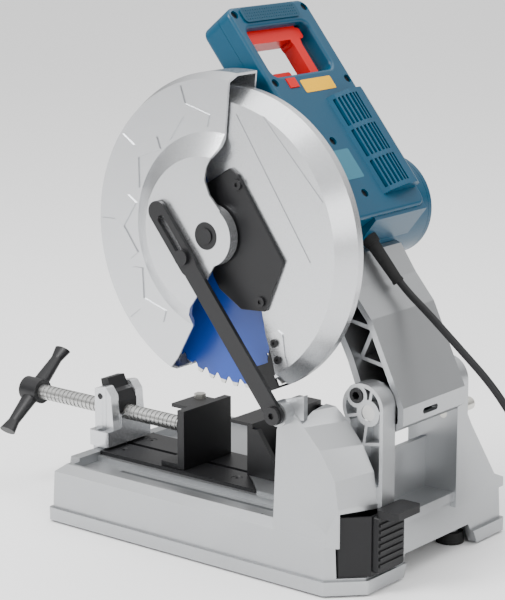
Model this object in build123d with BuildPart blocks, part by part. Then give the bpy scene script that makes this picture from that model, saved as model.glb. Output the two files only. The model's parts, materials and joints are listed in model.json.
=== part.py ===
from build123d import *
import math
import os

os.makedirs("parts", exist_ok=True)

# Metal dry-cut chop saw with a 305 mm carbide blade. Millimetres.
# +X points to the operator's right (the blade side), +Y to the rear, +Z up.
# The origin is on the bench, under the centre of the base's footprint.

# Driving dimensions -----------------------------------------------------------
BASE_X = 141.0            # half width of the base
BASE_Y = 202.0            # half length of the base
CORNER_CUT = 32.0         # chamfer of the rear corner that holds the chip drawer
DECK_Z = 58.0             # cast deck that the chips fall on
RIDGE_Z = 64.0            # rim round the deck, and the platform under the rails
RAIL_Z = 68.0             # top of the steel rails
BAND_Z = 56.0             # foot of the sloped band round the top of the base
BENCH_SPACING_X = 248.0
BENCH_SPACING_Y = 190.0
FOOT_SPACING = (156.0, 348.0)
BENCH_HOLE_R = 4.25       # clearance for M8 bench bolts

BLADE_R = 152.5
BLADE_X = 95.0            # plane of the blade
ARBOR_Y, ARBOR_Z = 23.0, 333.5     # axis of the blade and the spindle
GUARD_Y, GUARD_Z = 21.3, 343.5     # the moving guard turns about a higher axis
RIM_Y, RIM_Z = 24.5, 341.0         # centre of the moving guard's rim
PINION_TEETH, GEAR_TEETH = 8, 48
MOTOR_Y, MOTOR_Z = ARBOR_Y + 53.9, ARBOR_Z + 15.3
HINGE_Y, HINGE_Z = 184.9, 179.7
HINGE_R = 8.0
RUNNING = 0.05            # radial clearance of running fits
BODY_GAP = 0.4            # clearance between faces of different bodies

FIXED_GUARD_R = 155.6
FIXED_GUARD_X = (90.8, 99.0, 120.6)     # far wall, start of the bevel, near face
FIXED_FACE_R = 143.0      # radius that the bevel narrows to at the near face
MOVING_GUARD_R = 163.0
MOVING_GUARD_X = (81.0, 125.0)     # far and near faces of the moving guard's channel
BOSS_X = 139.0            # outer face of the guard's boss

LINK_X = (141.0, 145.5)   # link bar's inner and outer faces
LINK_Y, LINK_Z = 112.0, 177.0      # lower pivot of the link bar
LINK_PIN_RADIUS = 34.2    # guard pin's distance from the guard pivot
LINK_PIN_ANGLE = 224.05

VISE_X, VISE_Z = 36.0, 104.0
SCREW_R = 8.5
JAW_Y = -64.0             # clamping face of the jaw
JAW_WIDTH = 79.0
FENCE_Y = -2.0            # clamping face of the fence

SLAB_ANGLE = 51.0         # slope of the motor housing and D-handle
SLAB_HALF_W = 65.0
CORD_R = 3.85

# Planes -----------------------------------------------------------------------
# A side plane looks along +X, with its own x along +Y and its own y along +Z.
def side_plane(x, y=0.0, z=0.0):
    return Plane(origin=(x, y, z), x_dir=(0, 1, 0), z_dir=(1, 0, 0))


# A front plane looks along -Y, with its own x along +X and its own y along +Z.
def front_plane(y, x=0.0, z=0.0):
    return Plane(origin=(x, y, z), x_dir=(1, 0, 0), z_dir=(0, -1, 0))


# The slab plane is the sloping top face of the housing: its own x is +X, its
# own y runs down to the rear, and its normal points up and to the rear.
slope = math.radians(SLAB_ANGLE)
slab = Plane(
    origin=(5.0, -10.0, 561.0),
    x_dir=(1, 0, 0),
    z_dir=(0, math.sin(slope), math.cos(slope)),
)

slab_axis = Axis(slab.origin, slab.z_dir)
# The cord leaves the housing here, pointing down to the rear.
gland_plane = Plane(origin=(15, 135.6, 330.3), z_dir=(-7, 28.7, -38.2))
arbor_plane = side_plane(0, ARBOR_Y, ARBOR_Z)
guard_plane = side_plane(0, GUARD_Y, GUARD_Z)
rim_plane = side_plane(0, RIM_Y, RIM_Z)
hinge_plane = side_plane(0, HINGE_Y, HINGE_Z)
motor_plane = side_plane(0, MOTOR_Y, MOTOR_Z)


def save(piece, name):
    piece.part.label = name
    export_step(piece.part, f"parts/{name}.step")


def at_x(plane, x):
    return plane.offset(x)


# Base casting -----------------------------------------------------------------
def footprint(inset):
    x, y = BASE_X - inset, BASE_Y - inset
    cut = CORNER_CUT - 0.59 * inset
    return [(-x, -y), (x, -y), (x, y - cut), (x - cut, y), (-x, y)]


with BuildPart() as base_casting:
    # skirt, side walls and hollow underside
    with BuildSketch(Plane.XY.offset(2)):
        Polygon(*footprint(0), align=None)
    extrude(amount=14)
    with BuildSketch(Plane.XY.offset(14)):
        Polygon(*footprint(4), align=None)
    extrude(amount=BAND_Z - 14, taper=2)
    with BuildSketch(Plane.XY.offset(BAND_Z)):
        Polygon(*footprint(5.4), align=None)
    extrude(amount=RIDGE_Z - BAND_Z, taper=50)
    fillet(base_casting.edges().filter_by(Axis.Z), radius=4)
    with BuildSketch(Plane.XY.offset(2)):
        Polygon(*footprint(11), align=None)
    extrude(amount=DECK_Z - 8, mode=Mode.SUBTRACT)
    # deck, sunk below the rim and split by the platform of the rails
    with BuildSketch(Plane.XY.offset(DECK_Z)):
        with Locations((103, -43)):
            Rectangle(38, 276)
        with Locations((-71, -43)):
            Rectangle(102, 276)
        with Locations((34, 97)):
            Rectangle(108, 30)
    extrude(amount=40, mode=Mode.SUBTRACT)
    # pad that the fence swings on, level with the rails
    with BuildSketch(Plane.XY.offset(DECK_Z - 2)):
        Polygon((-84, -3), (38, -3), (43, 1), (79, 38), (79, 92), (-84, 92), align=None)
    extrude(amount=RAIL_Z - DECK_Z + 2)
    # kerf slot under the blade
    with BuildSketch(Plane.XY.offset(DECK_Z - 4)):
        with Locations((BLADE_X, -32)):
            SlotOverall(210, 5, rotation=90)
    extrude(amount=10, mode=Mode.SUBTRACT)
    # raised front wall
    with BuildSketch(front_plane(-181)):
        Polygon((-116, 50), (116, 50), (112, 68), (-112, 68), align=None)
    extrude(amount=13)
    # pads under the vise nut bracket
    with BuildSketch(Plane.XY.offset(RIDGE_Z - 2)):
        with Locations((VISE_X, -192.2)):
            Rectangle(66, 17)
    extrude(amount=8.6)
    # room for the rails' front ends
    with BuildSketch(Plane.XY.offset(RIDGE_Z)):
        with Locations((34, -100)):
            Rectangle(90, 166.4)
    extrude(amount=6, mode=Mode.SUBTRACT)
    # rear wall and the rear ledge between the brackets
    with BuildSketch(front_plane(165)):
        Polygon((-62, 50), (88, 50), (88, 122), (-62, 122), align=None)
    extrude(amount=6)
    with BuildSketch(Plane.XY.offset(DECK_Z)):
        with Locations((0, 180)):
            Rectangle(150, 40)
    extrude(amount=RAIL_Z - DECK_Z)
    # cheek beside the blade: curved top, drafted outer face
    inner = [(104, 50), (104, 150), (128, 181), (146, 180), (161, 168),
             (179, 147), (193, 122), (198, 90), (198, 50)]
    crease = [(104, 50), (104, 158), (112, 176), (124, 176), (138, 166),
              (157, 146), (176, 118), (180, 90), (180, 50)]
    outer = [(104, 50), (104, 68), (110, 74), (120, 76), (132, 76),
             (148, 74), (162, 70), (170, 64), (170, 50)]
    for x_a, profile_a, x_b, profile_b in (
        (89, inner, 130, crease),
        (130, crease, 135.4, outer),
    ):
        with BuildSketch(side_plane(x_a)):
            Polygon(*profile_a, align=None)
        with BuildSketch(side_plane(x_b)):
            Polygon(*profile_b, align=None)
        loft(ruled=True)
    # lip above the guard recess
    with BuildSketch(side_plane(122)):
        Polygon((112, 170), (110, 189), (116, 191), (136, 197), (136, 172), align=None)
    extrude(amount=6)
    # boss of the link bar's pivot
    with BuildSketch(at_x(side_plane(0, LINK_Y, LINK_Z), 122)):
        Circle(12.5)
    extrude(amount=LINK_X[0] - BODY_GAP - 122)
    # recess that the guard and the blade swing into
    with BuildSketch(side_plane(79)):
        Polygon((80, 58.5), (134, 58.5), (134, 230), (80, 230), align=None)
    extrude(amount=46, mode=Mode.SUBTRACT)
    # brackets of the head hinge
    for x_face, depth in ((68, 21), (-62, 19)):
        with BuildSketch(side_plane(x_face)):
            with Locations((171, 195.5)):
                Circle(11.5)
            with Locations((178.5, 184)):
                Circle(24.5)
            Polygon((146, 52), (159.5, 195), (203, 184), (203, 52), align=None)
        extrude(amount=depth)
    with BuildSketch(front_plane(202)):
        Polygon((-61, 52), (-61, 152), (-72, 134), (-118, 70), (-136, 62), (-136, 52), align=None)
    extrude(amount=72)
    with BuildSketch(side_plane(-137)):
        Polygon((129, 64), (202.1, 64), (202.1, 160), (165, 160), align=None)
        Polygon((120, 230), (120, 60), (129, 64), (168, 160), (168, 230), align=None)
    # pockets between the ribs of the near bracket
    with BuildSketch(side_plane(89)):
        with Locations((178.5, 184)):
            Circle(20.5)
        Polygon((164, 128), (164, 186), (199, 184), (199, 108), (194, 104), align=None)
        with Locations((HINGE_Y, HINGE_Z)):
            Circle(13.5, mode=Mode.SUBTRACT)
        with Locations((171, 195.5)):
            Circle(12.5, mode=Mode.SUBTRACT)
        for angle, length in ((10, 30), (80, 30), (195, 30), (262, 80)):
            with Locations((HINGE_Y, HINGE_Z)):
                Rectangle(length, 3, rotation=angle, align=(Align.MIN, Align.CENTER), mode=Mode.SUBTRACT)
        with Locations((184, 148)):
            Rectangle(40, 3, rotation=10, mode=Mode.SUBTRACT)
    extrude(amount=-12, mode=Mode.SUBTRACT)
    # bores of the hinge pin, stop screw, link pivot and transport lock
    with BuildSketch(at_x(hinge_plane, -70)):
        Circle(HINGE_R + RUNNING)
    extrude(amount=170, mode=Mode.SUBTRACT)
    with BuildSketch(side_plane(66, 171, 195.5)):
        Circle(8)
    extrude(amount=30, mode=Mode.SUBTRACT)
    with BuildSketch(side_plane(126, LINK_Y, LINK_Z)):
        Circle(4.05)
    extrude(amount=34, mode=Mode.SUBTRACT)
    with BuildSketch(side_plane(-70, HINGE_Y, 150)):
        Circle(5 + RUNNING)
    extrude(amount=40, mode=Mode.SUBTRACT)
    # chip drawer's cavity
    with BuildSketch(Plane.XY.offset(18)):
        Polygon((55, 108), (128, 108), (128, 215), (55, 215), align=None)
    extrude(amount=67, mode=Mode.SUBTRACT)
    # threaded holes of the rail screws and of the fence's pivot bolt
    with BuildSketch(Plane.XY.offset(40)):
        with Locations((58.5, -165), (58.5, -5), (12, -165), (12, -15)):
            Circle(3.05)
        with Locations((-40, 22)):
            Circle(5 + RUNNING)
    extrude(amount=40, mode=Mode.SUBTRACT)
    # shelf under the chip drawer
    with BuildSketch(Plane.XY.offset(13)):
        Polygon((52, 104), (132, 104), (132, 172), (108, 196), (52, 196), align=None)
    extrude(amount=5)
    # chip chute from the deck into the drawer
    with BuildSketch(Plane.XY.offset(50)):
        with Locations((102, 112)):
            Rectangle(40, 40)
    extrude(amount=30, mode=Mode.SUBTRACT)
    # arches between the feet in the rear and side skirts
    with BuildSketch(front_plane(210)):
        Polygon((-88, 0), (-76, 24), (40, 24), (48, 0), align=None)
    extrude(amount=30, mode=Mode.SUBTRACT)
    # bench bolt bosses and foot bosses under the deck
    with BuildSketch(Plane.XY):
        with GridLocations(BENCH_SPACING_X, BENCH_SPACING_Y, 2, 2):
            Circle(9)
    extrude(amount=DECK_Z - 2)
    with BuildSketch(Plane.XY.offset(12)):
        with GridLocations(*FOOT_SPACING, 2, 2):
            Circle(8)
    extrude(amount=DECK_Z - 16)
    with BuildSketch(Plane.XY.offset(18)):
        with Locations((92, 160)):
            Rectangle(70, 70)
    extrude(amount=60, mode=Mode.SUBTRACT)
    with BuildSketch(Plane.XY.offset(-1)):
        with GridLocations(BENCH_SPACING_X, BENCH_SPACING_Y, 2, 2):
            Circle(BENCH_HOLE_R)
    extrude(amount=30, mode=Mode.SUBTRACT)
save(base_casting, "base_casting")

# Steel rails, and the guide groove of the vise between them ---------------------
with BuildPart() as rail_near:
    with BuildSketch(Plane.XY.offset(RIDGE_Z)):
        Polygon((39, -183), (78, -183), (78, 35.5), (43, -1), (39, -5), align=None)
    extrude(amount=RAIL_Z - RIDGE_Z)
    with Locations((58.5, -165, RAIL_Z), (58.5, -5, RAIL_Z)):
        CounterSinkHole(radius=3.1, counter_sink_radius=6.2)
save(rail_near, "rail_near")

with BuildPart() as rail_far:
    with BuildSketch(Plane.XY.offset(RIDGE_Z)):
        with Locations((12, -94)):
            Rectangle(42, 178)
    extrude(amount=RAIL_Z - RIDGE_Z)
    with Locations((12, -165, RAIL_Z), (12, -15, RAIL_Z)):
        CounterSinkHole(radius=3.1, counter_sink_radius=6.2)
save(rail_far, "rail_far")

RAIL_SCREWS = [(58.5, -165), (58.5, -5), (12, -165), (12, -15)]
with BuildPart() as rail_screws:
    with BuildSketch(Plane.XY.offset(54)):
        with Locations(*RAIL_SCREWS):
            Circle(3)
    extrude(amount=13)
    for spot in RAIL_SCREWS:
        with Locations((spot[0], spot[1], 66.2)):
            Cone(3, 5.8, 2.8)
    with BuildSketch(Plane.XY.offset(RAIL_Z)):
        with Locations(*RAIL_SCREWS):
            RegularPolygon(2, 6)
    extrude(amount=-2, mode=Mode.SUBTRACT)
save(rail_screws, "rail_screws")

with BuildPart() as rubber_feet:
    with BuildSketch(Plane.XY):
        with GridLocations(*FOOT_SPACING, 2, 2):
            Circle(15)
    extrude(amount=12, taper=6)
save(rubber_feet, "rubber_feet")

# Vise: nut bracket, screw, handle and jaw ---------------------------------------
NUT_Y = (-204.0, -176.0)
LEVER_Y, LEVER_Z = -196.0, 124.0
with BuildPart() as vise_nut_bracket:
    with BuildSketch(Plane.XY.offset(70.6)):
        with Locations((VISE_X, -190)):
            RectangleRounded(74, 28, 4)
    extrude(amount=17)
    with BuildSketch(Plane.XY.offset(84)):
        with Locations((VISE_X, -190)):
            Rectangle(27.4, 28)
    extrude(amount=VISE_Z - 84)
    with BuildSketch(side_plane(VISE_X - 26)):
        Polygon((-204, 80), (-176, 80), (-180, 126), (-188, 136), (-204, 132), align=None)
    extrude(amount=12)
    with BuildSketch(side_plane(VISE_X + 14)):
        Polygon((-204, 80), (-176, 80), (-180, 126), (-188, 136), (-204, 132), align=None)
    extrude(amount=12)
    fillet(vise_nut_bracket.edges().filter_by(Axis.X).group_by(Axis.Z)[-1], radius=4)
    with BuildSketch(side_plane(VISE_X - 30, LEVER_Y, LEVER_Z)):
        Circle(3.5 + RUNNING)
    extrude(amount=60, mode=Mode.SUBTRACT)
    with BuildSketch(front_plane(-170, VISE_X, VISE_Z)):
        Circle(SCREW_R + RUNNING)
    extrude(amount=40, mode=Mode.SUBTRACT)
    with Locations((6, -190, 87.6), (66, -190, 87.6)):
        CounterBoreHole(radius=3.1, counter_bore_radius=5.2, counter_bore_depth=6)
save(vise_nut_bracket, "vise_nut_bracket")

with BuildPart() as half_nut_lever:
    with BuildSketch(side_plane(VISE_X - 13.6)):
        with Locations((LEVER_Y, LEVER_Z)):
            Circle(8.5)
        Polygon((-197, 117), (-178, 105), (-178, 118), (-184, 128), (-196, 132), align=None)
        Polygon((-203, 127), (-190, 130), (-196, 142), (-206, 140), align=None)
    extrude(amount=27.2)
    with BuildSketch(front_plane(-170, VISE_X, VISE_Z)):
        Circle(SCREW_R + 0.3)
    extrude(amount=40, mode=Mode.SUBTRACT)
    with BuildSketch(side_plane(VISE_X - 25.6, LEVER_Y, LEVER_Z)):
        Circle(3.5)
    extrude(amount=51.2)
save(half_nut_lever, "half_nut_lever")

TEE_Y = -321.0
with BuildPart() as vise_screw:
    with BuildSketch(front_plane(-97, VISE_X, VISE_Z)):
        Circle(SCREW_R)
    extrude(amount=-TEE_Y - 97 - 12)
    with BuildSketch(front_plane(-80, VISE_X, VISE_Z)):
        Circle(6)
    extrude(amount=20)
    # thread grooves, kept as rings so that the nut's bore stays in contact
    for step in range(34):
        with BuildSketch(front_plane(-101 - 6 * step, VISE_X, VISE_Z)):
            Circle(SCREW_R + 1)
            Circle(SCREW_R - 0.8, mode=Mode.SUBTRACT)
        extrude(amount=2.4, mode=Mode.SUBTRACT)
save(vise_screw, "vise_screw")

with BuildPart() as tee_handle:
    with BuildSketch(front_plane(TEE_Y + 12, VISE_X, VISE_Z)):
        Circle(14)
    extrude(amount=27)
    chamfer(tee_handle.edges().group_by(Axis.Y)[0], length=2)
    tee_axis = Plane(origin=(VISE_X, TEE_Y, VISE_Z), x_dir=(0, 1, 0), z_dir=(0.774, 0, -0.633))
    for side in (1, -1):
        with BuildSketch(tee_axis.offset(side * 6)):
            Ellipse(11, 7)
        with BuildSketch(tee_axis.offset(side * 46)):
            Ellipse(7.4, 5)
        with BuildSketch(tee_axis.offset(side * 60)):
            Ellipse(11, 6.4)
        loft(ruled=True)
    with BuildSketch(front_plane(TEE_Y + 13, VISE_X, VISE_Z)):
        Circle(SCREW_R + 0.02)
    extrude(amount=1, mode=Mode.SUBTRACT)
save(tee_handle, "tee_handle")

with BuildPart() as vise_jaw:
    with BuildSketch(front_plane(JAW_Y)):
        with Locations((35.5, 103)):
            Rectangle(JAW_WIDTH, 60)
    extrude(amount=9)
    with BuildSketch(Plane.XY.offset(RAIL_Z + 0.3)):
        with Locations((35.5, -80)):
            Rectangle(JAW_WIDTH, 32)
    extrude(amount=5)
    with BuildSketch(Plane.XY.offset(RIDGE_Z + 0.3)):
        with Locations((VISE_X, -80)):
            Rectangle(5.8, 32)
    extrude(amount=6)
    with BuildSketch(Plane.XY.offset(129)):
        with Locations((35.5, -84)):
            Rectangle(44, 24)
    extrude(amount=4)
    with BuildSketch(front_plane(JAW_Y - 8, VISE_X, VISE_Z)):
        Circle(14)
    extrude(amount=24)
    with BuildSketch(side_plane(VISE_X - 3)):
        Polygon((-70, 70), (-95, 70), (-95, 92), (-70, 130), align=None)
    extrude(amount=6)
    with BuildSketch(front_plane(-78, VISE_X, VISE_Z)):
        Circle(6 + RUNNING)
    extrude(amount=30, mode=Mode.SUBTRACT)
    with BuildSketch(Plane.XY.offset(120)):
        with Locations((22, -86)):
            Circle(3.1)
    extrude(amount=20, mode=Mode.SUBTRACT)
save(vise_jaw, "vise_jaw")

with BuildPart() as jaw_bolt:
    with BuildSketch(Plane.XY.offset(133)):
        with Locations((22, -86)):
            RegularPolygon(6.5, 6)
    extrude(amount=5)
    with BuildSketch(Plane.XY.offset(119)):
        with Locations((22, -86)):
            Circle(3)
    extrude(amount=15)
save(jaw_bolt, "jaw_bolt")

# Fence --------------------------------------------------------------------------
FENCE_PIVOT = (-40.0, 22.0)
with BuildPart() as fence:
    with BuildSketch(Plane.XY.offset(RAIL_Z + 0.3)):
        with Locations((-15, 21)):
            Rectangle(120, 46)
    extrude(amount=5)
    with BuildSketch(front_plane(FENCE_Y)):
        with Locations((-15, 97)):
            Rectangle(120, 57)
    extrude(amount=-7)
    with BuildSketch(Plane.XY.offset(122)):
        with Locations((-15, -13)):
            Rectangle(120, 24)
    extrude(amount=3.5)
    for x_rib in (39, -30, -75):
        with BuildSketch(side_plane(x_rib)):
            Polygon((4, 70), (42, 70), (42, 78), (12, 120), (4, 120), align=None)
        extrude(amount=6)
    with BuildSketch(Plane.XY.offset(60)):
        with Locations(FENCE_PIVOT):
            Circle(5.1)
        with Locations((20, 26)):
            SlotCenterToCenter(24, 9, rotation=90)
    extrude(amount=20, mode=Mode.SUBTRACT)
save(fence, "fence")

with BuildPart() as fence_bolt:
    with BuildSketch(Plane.XY.offset(RAIL_Z + 5.5)):
        with Locations(FENCE_PIVOT):
            Circle(10)
    extrude(amount=2)
    with BuildSketch(Plane.XY.offset(RAIL_Z + 7.5)):
        with Locations(FENCE_PIVOT):
            RegularPolygon(8, 6)
    extrude(amount=6)
    with BuildSketch(Plane.XY.offset(56)):
        with Locations(FENCE_PIVOT):
            Circle(5)
    extrude(amount=18)
save(fence_bolt, "fence_bolt")

# Hinge pin, its return spring, stop screw and transport lock ---------------------
with BuildPart() as hinge_pin:
    with BuildSketch(at_x(hinge_plane, -60)):
        Circle(HINGE_R)
    extrude(amount=148)
save(hinge_pin, "hinge_pin")

with BuildPart() as stop_screw:
    with BuildSketch(side_plane(68.5, 171, 195.5)):
        Circle(7.7)
    extrude(amount=22)
    with BuildSketch(side_plane(90.5, 171, 195.5)):
        RegularPolygon(4.4, 6)
    extrude(amount=-9, mode=Mode.SUBTRACT)
save(stop_screw, "stop_screw")

LOCK_Z = 150.0
with BuildPart() as transport_lock_pin:
    with BuildSketch(side_plane(-80, HINGE_Y, LOCK_Z)):
        Circle(5)
    extrude(amount=36.6)
    with BuildSketch(side_plane(-94, HINGE_Y, LOCK_Z)):
        Circle(7)
    extrude(amount=16)
    fillet(transport_lock_pin.edges().group_by(Axis.X)[0], radius=2)
save(transport_lock_pin, "transport_lock_pin")

# Chip drawer --------------------------------------------------------------------
with BuildPart() as chip_drawer:
    with BuildSketch(Plane.XY.offset(18.5)):
        Polygon((57, 112), (126, 112), (126, 178), (103, 201), (57, 201), align=None)
    extrude(amount=62)
    with BuildSketch(Plane.XY.offset(21)):
        Polygon((59.5, 114.5), (123.5, 114.5), (123.5, 177), (102, 198.5), (59.5, 198.5), align=None)
    extrude(amount=62, mode=Mode.SUBTRACT)
save(chip_drawer, "chip_drawer")

with BuildPart() as chip_drawer_handle:
    with BuildSketch(front_plane(201)):
        with Locations((79, 51)):
            RectangleRounded(44, 58, 3)
    extrude(amount=-7)
    with BuildSketch(Plane.XY.offset(80)):
        with Locations((79, 216.3)):
            RectangleRounded(44, 25.4, 5)
    extrude(amount=8)
    for z_rib in range(28, 74, 7):
        with BuildSketch(Plane.XY.offset(z_rib)):
            with Locations((79, 207.5)):
                Rectangle(40, 4)
        extrude(amount=3)
save(chip_drawer_handle, "chip_drawer_handle")

# Moving guard, link bar and pins ------------------------------------------------
pin_a = math.radians(LINK_PIN_ANGLE)
PIN_Y = GUARD_Y + LINK_PIN_RADIUS * math.cos(pin_a)
PIN_Z = GUARD_Z + LINK_PIN_RADIUS * math.sin(pin_a)
link_dir = math.degrees(math.atan2(PIN_Z - LINK_Z, PIN_Y - LINK_Y))
link_len = math.hypot(PIN_Z - LINK_Z, PIN_Y - LINK_Y)
link_plane = Plane(
    origin=(LINK_X[0], LINK_Y, LINK_Z),
    x_dir=(0, math.cos(math.radians(link_dir)), math.sin(math.radians(link_dir))),
    z_dir=(1, 0, 0),
)
with BuildPart() as link_bar:
    with BuildSketch(link_plane):
        Circle(10)
        with Locations((120, 0)):
            Rectangle(240, 19)
        with Locations((link_len + 22, 0)):
            SlotCenterToCenter(64, 22)
    extrude(amount=LINK_X[1] - LINK_X[0])
    with BuildSketch(link_plane):
        Circle(5 + RUNNING)
        with Locations((link_len + 22, 0)):
            SlotCenterToCenter(46, 8.4)
    extrude(amount=10, mode=Mode.SUBTRACT)
save(link_bar, "link_bar")

with BuildPart() as link_pivot_screw:
    with BuildSketch(side_plane(127, LINK_Y, LINK_Z)):
        Circle(4)
    extrude(amount=19)
    with BuildSketch(side_plane(LINK_X[0] - 0.2, LINK_Y, LINK_Z)):
        Circle(5)
    extrude(amount=6)
    with BuildSketch(side_plane(LINK_X[1] + 0.2, LINK_Y, LINK_Z)):
        Circle(9)
    extrude(amount=4)
    with BuildSketch(side_plane(LINK_X[1] + 4.2, LINK_Y, LINK_Z)):
        RegularPolygon(3.5, 6)
    extrude(amount=-3, mode=Mode.SUBTRACT)
save(link_pivot_screw, "link_pivot_screw")

with BuildPart() as guard_slot_pin:
    with BuildSketch(side_plane(LINK_X[0] - 1, PIN_Y, PIN_Z)):
        Circle(4.2)
    extrude(amount=7)
    with BuildSketch(side_plane(LINK_X[1], PIN_Y, PIN_Z)):
        Circle(8)
    extrude(amount=4)
save(guard_slot_pin, "guard_slot_pin")


def polar(radius, angle):
    return (radius * math.cos(math.radians(angle)), radius * math.sin(math.radians(angle)))


# Sector of a ring, from angle a to angle b, as a closed polygon with fine steps.
def sector(radius, a, b):
    steps = max(4, int((b - a) / 15))
    return [(0, 0)] + [polar(radius, a + (b - a) * k / steps) for k in range(steps + 1)]


far_x, near_x = MOVING_GUARD_X
GUARD_PIVOT_R = 14.0
near_cut = [(40, 505), (33.5, 432), (22, 412), (19.5, 399), (25.5, 385), (39, 371), (41, 343),
            (32, 315), (21.5, 298), (4.5, 273.5), (-7.5, 257.5), (-8, 244.5), (-28, 209),
            (-40.5, 193), (-68.5, 136), (-210, 136), (-210, 566), (46.5, 566)]
RIM_BEVEL = 6.0
DISH_OUT_R, DISH_IN_R = 102.0, 79.0
with BuildPart() as moving_guard:
    with BuildSketch(at_x(rim_plane, far_x)):
        Circle(MOVING_GUARD_R)
    extrude(amount=near_x - 13 - far_x)
    with BuildSketch(at_x(rim_plane, near_x - 13)):
        Circle(MOVING_GUARD_R)
    with BuildSketch(at_x(rim_plane, near_x)):
        Circle(MOVING_GUARD_R - RIM_BEVEL)
    loft()
    with BuildSketch(at_x(guard_plane, near_x)):
        Circle(DISH_OUT_R)
    with BuildSketch(at_x(guard_plane, BOSS_X)):
        Circle(DISH_IN_R)
    loft()
    # hollow for the blade and the fixed guard
    with BuildSketch(at_x(rim_plane, far_x + 2)):
        Circle(MOVING_GUARD_R - 2.5)
    extrude(amount=near_x - 15.5 - far_x, mode=Mode.SUBTRACT)
    with BuildSketch(at_x(rim_plane, near_x - 14)):
        Circle(MOVING_GUARD_R - 2.6)
    with BuildSketch(at_x(rim_plane, near_x - 2.5)):
        Circle(MOVING_GUARD_R - RIM_BEVEL - 2)
    loft(mode=Mode.SUBTRACT)
    with BuildSketch(at_x(guard_plane, near_x - 3)):
        Circle(DISH_OUT_R - 4)
    with BuildSketch(at_x(guard_plane, BOSS_X - 2.5)):
        Circle(DISH_IN_R - 3)
    loft(mode=Mode.SUBTRACT)
    # the far wall is only a flange
    with BuildSketch(at_x(rim_plane, far_x - 1)):
        Circle(136)
    extrude(amount=4, mode=Mode.SUBTRACT)
    # raised branches on the near face
    with BuildSketch(at_x(rim_plane, near_x - 0.6)):
        for turn in (110, 146, 182, 218):
            with Locations(Location(polar(132, turn))):
                for arm in (0, 125, 235):
                    Rectangle(36, 13, rotation=turn + arm, align=(Align.MIN, Align.CENTER))
        Circle(MOVING_GUARD_R - RIM_BEVEL - 3, mode=Mode.INTERSECT)
        Circle(DISH_OUT_R + 4, mode=Mode.SUBTRACT)
    extrude(amount=2.0)
    # cut away the side that stays behind the fixed guard
    with BuildSketch(side_plane(far_x - 2)):
        Polygon(*near_cut, align=None)
        with Locations((GUARD_Y, GUARD_Z)):
            Circle(31)
    extrude(amount=80, mode=Mode.INTERSECT)
    # bearing hub on the guard's pivot
    with BuildSketch(at_x(guard_plane, BOSS_X - 12)):
        Circle(31)
    extrude(amount=12)
    with BuildSketch(at_x(guard_plane, BOSS_X - 20)):
        Circle(GUARD_PIVOT_R + RUNNING)
    extrude(amount=30, mode=Mode.SUBTRACT)
save(moving_guard, "moving_guard")

with BuildPart() as guard_pivot_cap:
    with BuildSketch(at_x(guard_plane, BOSS_X)):
        Circle(8)
    extrude(amount=1.6)
    with BuildSketch(at_x(guard_plane, 123)):
        Circle(GUARD_PIVOT_R)
    extrude(amount=BOSS_X - 122.8)
save(guard_pivot_cap, "guard_pivot_cap")

# Fixed guard --------------------------------------------------------------------
FIXED_FROM, FIXED_TO = -62.0, 103.0
COVER_SCREWS = [(79.4, 282.5), (50.0, 396.0)]
DEFLECTOR_SCREWS = [(95.1, 242.7), (99.5, 226.5)]
wall_x, bevel_x, face_x = FIXED_GUARD_X
GUARD_WALL = 2.2
with BuildPart() as fixed_guard:
    with BuildSketch(at_x(arbor_plane, wall_x)):
        Circle(FIXED_GUARD_R)
    extrude(amount=bevel_x - wall_x)
    with BuildSketch(at_x(arbor_plane, bevel_x)):
        Circle(FIXED_GUARD_R)
    with BuildSketch(at_x(arbor_plane, face_x)):
        Circle(FIXED_FACE_R)
    loft()
    with BuildSketch(at_x(arbor_plane, wall_x + 2)):
        Circle(FIXED_GUARD_R - GUARD_WALL)
    extrude(amount=bevel_x - wall_x - 1.9, mode=Mode.SUBTRACT)
    with BuildSketch(at_x(arbor_plane, bevel_x)):
        Circle(FIXED_GUARD_R - GUARD_WALL)
    with BuildSketch(at_x(arbor_plane, face_x - GUARD_WALL)):
        Circle(FIXED_FACE_R - 1.4)
    loft(mode=Mode.SUBTRACT)
    with BuildSketch(at_x(arbor_plane, wall_x - 10)):
        Circle(40)
        Polygon(*sector(230, FIXED_FROM, FIXED_TO), align=None)
    extrude(amount=60, mode=Mode.INTERSECT)
    # collar that clamps on the gearcase
    with BuildSketch(at_x(arbor_plane, 78.2)):
        Circle(40)
    extrude(amount=wall_x + 1 - 78.2)
    # the blade's opening below the cover plate
    with BuildSketch(side_plane(face_x - 4)):
        Polygon((15, 324), (76, 280), (82, 251), (90, 228), (97, 205), (99, 170), (60, 130),
                (-60, 130), (-20, 324), align=None)
    extrude(amount=10, mode=Mode.SUBTRACT)
    # folds of the near face
    with BuildSketch(side_plane(face_x)):
        with Locations((92, 397)):
            Rectangle(164, 2.4, rotation=-56)
        with Locations((113, 431)):
            Rectangle(114, 2.4, rotation=-46)
    extrude(amount=-0.8, mode=Mode.SUBTRACT)
    # boss that carries the moving guard
    with BuildSketch(at_x(guard_plane, face_x - GUARD_WALL)):
        Circle(26)
    extrude(amount=4)
    with BuildSketch(at_x(arbor_plane, 76)):
        Circle(28)
    extrude(amount=wall_x + 3 - 76, mode=Mode.SUBTRACT)
    # raised lug of the chip deflector
    with BuildSketch(side_plane(face_x - GUARD_WALL)):
        Polygon((83, 250), (98, 256), (104, 253), (107, 232), (120, 196), (100, 190), (97, 205),
                (91, 228), align=None)
        with Locations((ARBOR_Y, ARBOR_Z)):
            Circle(FIXED_FACE_R - 1, mode=Mode.INTERSECT)
    extrude(amount=GUARD_WALL + 1.2)
    with BuildSketch(side_plane(face_x - 8)):
        with Locations(*COVER_SCREWS, *DEFLECTOR_SCREWS):
            Circle(2.55)
    extrude(amount=12, mode=Mode.SUBTRACT)
save(fixed_guard, "fixed_guard")

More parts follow.
